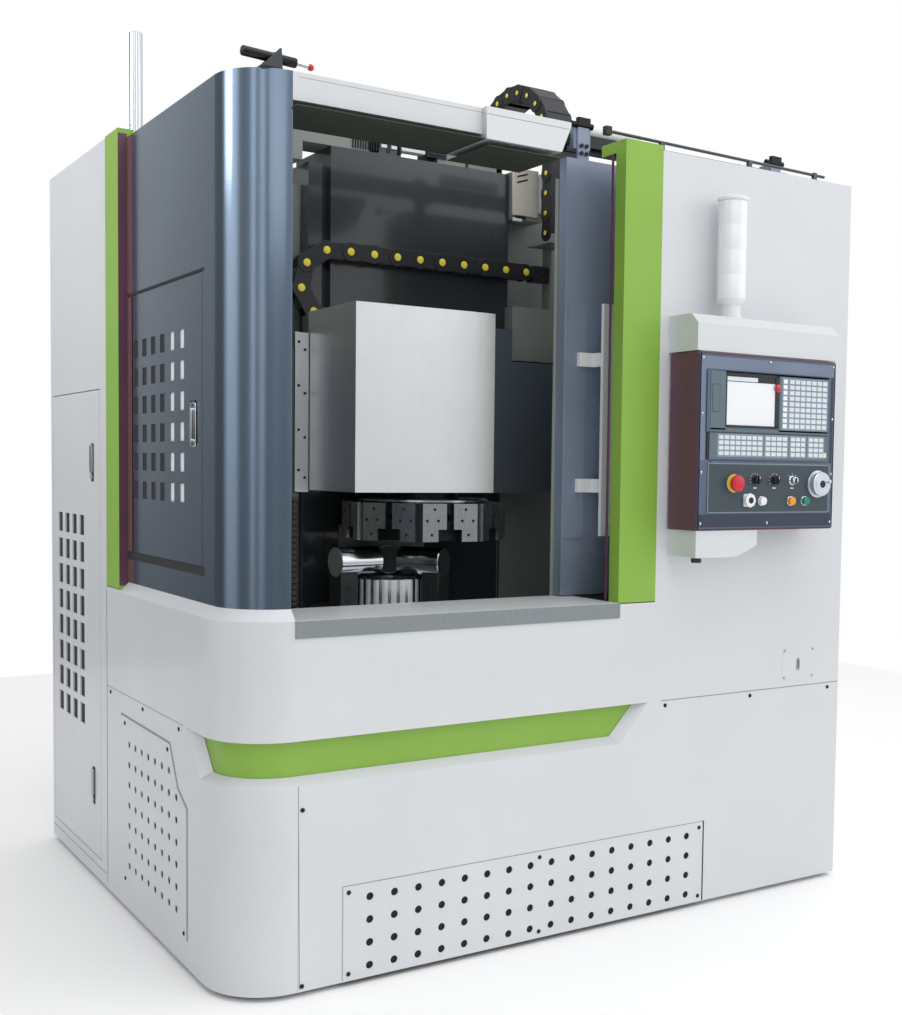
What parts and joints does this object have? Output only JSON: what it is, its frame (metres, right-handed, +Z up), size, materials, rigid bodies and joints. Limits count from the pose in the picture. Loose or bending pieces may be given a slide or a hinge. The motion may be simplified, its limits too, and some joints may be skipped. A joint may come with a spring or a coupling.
{
  "type": "cnc vertical lathe",
  "caption": "Enclosed vertical lathe with a chuck on a vertical axis, a turret on a cross slide, sliding door, operator panel and electrical cabinet.",
  "frame": {"origin": "centre of the whole machine's box on the floor", "axes": "+Z up, -Y towards the operator in front of the machine, +X to the operator's right, where the operator panel is"},
  "size_m": [2.236, 2.07, 2.8339],
  "materials": {
    "white_sheet": "powder coat",
    "green_sheet": "satin paint",
    "slate_sheet": "orange peel paint",
    "stainless": "brushed",
    "cast_base": "painted casting",
    "machined_steel": "turned",
    "guard_sheet": "satin paint",
    "chain_plastic": "moulded",
    "motor_case": "semi-gloss paint",
    "panel_box": "satin paint",
    "panel_face": "fine texture",
    "display_glass": "clear over a white display",
    "lens": "translucent",
    "black_screw": "blackened",
    "safety_glass": "laminated",
    "aluminium_bar": "anodised",
    "red_plastic": "gloss",
    "black_plastic": "gloss",
    "white_plastic": "gloss",
    "orange_plastic": "gloss",
    "green_plastic": "gloss"
  },
  "bodies": {
    "frame": {"base_casting": "cast_base", "leveling_feet": "machined_steel", "lower_skirt": "white_sheet", "front_vent_panel": "white_sheet", "side_vent_panel": "white_sheet", "accent_stripe": "green_sheet", "upper_band": "white_sheet", "sill": "stainless", "left_enclosure": "slate_sheet", "corner_posts": "green_sheet", "right_panel": "white_sheet", "top_beam": "white_sheet", "rear_panels": "white_sheet", "inner_guards": "guard_sheet", "column": "slate_sheet", "x_rails": "machined_steel", "riser_chain": "chain_plastic", "spindle_housing": "cast_base", "spindle_motor": "motor_case", "x_servo": "motor_case", "door_rail": "motor_case", "cabinet_shell": "white_sheet", "pendant_mounts": "white_sheet", "pendant_box": "panel_box", "control_face": "panel_face", "screen": "display_glass", "signal_light": "lens", "panel_screws": "black_screw", "roof_fittings": "machined_steel"},
    "front_door": {"front_door": "slate_sheet", "door_window": "safety_glass", "door_handle": "aluminium_bar"},
    "side_door": {"side_door": "slate_sheet"},
    "cabinet_door": {"cabinet_door": "white_sheet"},
    "latch_upper": {"latch_upper": "machined_steel"},
    "latch_lower": {"latch_lower": "machined_steel"},
    "spindle": {"spindle_shaft": "machined_steel", "chuck_body": "machined_steel"},
    "jaw_1": {"jaw_1": "machined_steel"},
    "jaw_2": {"jaw_2": "machined_steel"},
    "jaw_3": {"jaw_3": "machined_steel"},
    "x_screw": {"x_screw": "machined_steel"},
    "saddle": {"saddle": "cast_base", "x_chain": "chain_plastic"},
    "ram": {"ram": "cast_base", "head_cover": "stainless", "head_apron": "slate_sheet", "turret_housing": "cast_base", "z_servo": "motor_case"},
    "turret": {"turret_disc": "machined_steel", "tool_plates": "machined_steel"},
    "z_screw": {"z_screw": "machined_steel"},
    "emergency_stop": {"emergency_stop": "red_plastic"},
    "mode_knob": {"mode_knob": "black_plastic"},
    "override_knob": {"override_knob": "black_plastic"},
    "key_switch": {"key_switch": "machined_steel"},
    "handwheel": {"handwheel": "machined_steel"},
    "button_white": {"button_white": "white_plastic"},
    "button_orange": {"button_orange": "orange_plastic"},
    "button_green": {"button_green": "green_plastic"}
  },
  "joints": [
    {"name": "door_slide", "type": "slide", "parent": "frame", "child": "front_door", "axis": [1, 0, 0], "range_m": [-1.01, 0]},
    {"name": "side_door_hinge", "type": "hinge", "parent": "frame", "child": "side_door", "pos_m": [-1.062, 0.119, 1.545], "axis": [0, 0, -1], "range_deg": [0, 90]},
    {"name": "cabinet_door_hinge", "type": "hinge", "parent": "frame", "child": "cabinet_door", "pos_m": [-1.092, 0.995, 0.875], "axis": [0, 0, -1], "range_deg": [0, 90]},
    {"name": "latch_upper_turn", "type": "hinge", "parent": "cabinet_door", "child": "latch_upper", "pos_m": [-1.102, 0.453, 1.425], "axis": [-1, 0, 0], "range_deg": [0, 90]},
    {"name": "latch_lower_turn", "type": "hinge", "parent": "cabinet_door", "child": "latch_lower", "pos_m": [-1.102, 0.453, 0.325], "axis": [-1, 0, 0], "range_deg": [0, 90]},
    {"name": "spindle_turn", "type": "hinge", "parent": "frame", "child": "spindle", "pos_m": [-0.357, -0.275, 0.975], "axis": [0, 0, 1], "continuous": true},
    {"name": "jaw_1_slide", "type": "slide", "parent": "spindle", "child": "jaw_1", "axis": [-0.9971, -0.0767, 0], "range_m": [-0.012, 0.012]},
    {"name": "jaw_2_slide", "type": "slide", "parent": "spindle", "child": "jaw_2", "axis": [0.565, -0.8251, 0], "range_m": [-0.012, 0.012]},
    {"name": "jaw_3_slide", "type": "slide", "parent": "spindle", "child": "jaw_3", "axis": [0.4321, 0.9018, 0], "range_m": [-0.012, 0.012]},
    {"name": "saddle_slide", "type": "slide", "parent": "frame", "child": "saddle", "axis": [1, 0, 0], "range_m": [0, 0.4], "deforming": ["x_chain"]},
    {"name": "x_screw_turn", "type": "hinge", "parent": "frame", "child": "x_screw", "pos_m": [-0.46, -0.065, 1.73], "axis": [1, 0, 0], "continuous": true},
    {"name": "ram_slide", "type": "slide", "parent": "saddle", "child": "ram", "axis": [0, 0, 1], "range_m": [0, 0.3]},
    {"name": "turret_turn", "type": "hinge", "parent": "ram", "child": "turret", "pos_m": [-0.232, -0.275, 1.195], "axis": [0, 0, 1], "continuous": true},
    {"name": "z_screw_turn", "type": "hinge", "parent": "ram", "child": "z_screw", "pos_m": [-0.492, -0.225, 1.361], "axis": [0, 0, 1], "continuous": true},
    {"name": "emergency_stop_press", "type": "slide", "parent": "frame", "child": "emergency_stop", "axis": [0, 1, 0], "range_m": [0, 0.006]},
    {"name": "mode_knob_turn", "type": "hinge", "parent": "frame", "child": "mode_knob", "pos_m": [0.562, -0.994, 1.401], "axis": [0, -1, 0], "range_deg": [-90, 90]},
    {"name": "override_knob_turn", "type": "hinge", "parent": "frame", "child": "override_knob", "pos_m": [0.644, -0.994, 1.401], "axis": [0, -1, 0], "range_deg": [-135, 135]},
    {"name": "key_switch_turn", "type": "hinge", "parent": "frame", "child": "key_switch", "pos_m": [0.723, -0.994, 1.401], "axis": [0, -1, 0], "range_deg": [0, 90]},
    {"name": "handwheel_turn", "type": "hinge", "parent": "frame", "child": "handwheel", "pos_m": [0.837, -0.994, 1.39], "axis": [0, -1, 0], "continuous": true},
    {"name": "button_white_press", "type": "slide", "parent": "frame", "child": "button_white", "axis": [0, 1, 0], "range_m": [0, 0.004], "stiffness_N_per_m": 600, "springref_m": -0.002},
    {"name": "button_orange_press", "type": "slide", "parent": "frame", "child": "button_orange", "axis": [0, 1, 0], "range_m": [0, 0.004], "stiffness_N_per_m": 600, "springref_m": -0.002},
    {"name": "button_green_press", "type": "slide", "parent": "frame", "child": "button_green", "axis": [0, 1, 0], "range_m": [0, 0.004], "stiffness_N_per_m": 600, "springref_m": -0.002}
  ],
  "couplings": [
    {"joint": "jaw_2_slide", "follows": "jaw_1_slide", "ratio": 1},
    {"joint": "jaw_3_slide", "follows": "jaw_1_slide", "ratio": 1},
    {"joint": "x_screw_turn", "follows": "saddle_slide", "rad_per_m": 314.16},
    {"joint": "z_screw_turn", "follows": "ram_slide", "rad_per_m": 314.16}
  ]
}
